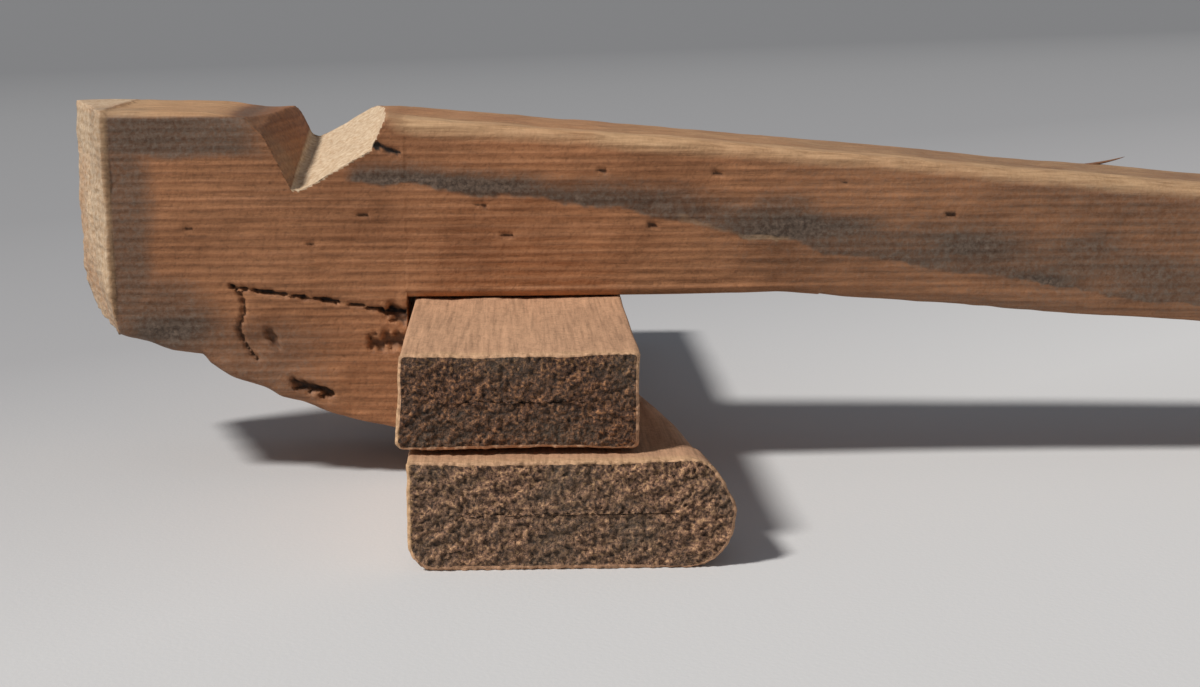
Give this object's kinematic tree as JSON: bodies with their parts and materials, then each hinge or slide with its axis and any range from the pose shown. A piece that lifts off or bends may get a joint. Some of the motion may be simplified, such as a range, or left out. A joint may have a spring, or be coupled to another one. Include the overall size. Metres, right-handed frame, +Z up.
{
  "type": "wooden drag hay rake",
  "caption": "Old wooden drag hay rake on its back: long handle with a heel and rope notch, stacked two-part crossbar, bowed head with round pegged teeth.",
  "frame": {"origin": "on the floor, in the lower bar's underside, under the middle of the handle's width and near the middle of the crossbar's width", "axes": "+X along the handle towards the toothed head, +Y along the crossbar away from its short side, +Z up"},
  "size_m": [1.5277, 0.64, 0.13],
  "materials": {
    "handle_wood": "worn, oiled by hands, grimy",
    "bar_wood": "dry, weathered, with pitted end grain",
    "head_wood": "dry and worn",
    "bow_wood": "smooth bent rod, hand worn",
    "peg_wood": "split hardwood, dry",
    "tooth_wood": "hardwood polished by hay"
  },
  "bodies": {
    "root": {"handle": "handle_wood", "upper_bar": "bar_wood", "lower_bar": "bar_wood", "bar_peg_near": "peg_wood", "bar_peg_far": "peg_wood", "head_beam": "head_wood", "tenon_wedge_near": "peg_wood", "tenon_wedge_far": "peg_wood", "outer_bow": "bow_wood", "inner_bow": "bow_wood", "bow_pins": "peg_wood", "tooth_01": "tooth_wood", "tooth_02": "tooth_wood", "tooth_03": "tooth_wood", "tooth_04": "tooth_wood", "tooth_05": "tooth_wood", "tooth_06": "tooth_wood", "tooth_07": "tooth_wood", "tooth_08": "tooth_wood", "tooth_09": "tooth_wood", "tooth_10": "tooth_wood", "tooth_11": "tooth_wood", "tooth_12": "tooth_wood"}
  },
  "joints": []
}
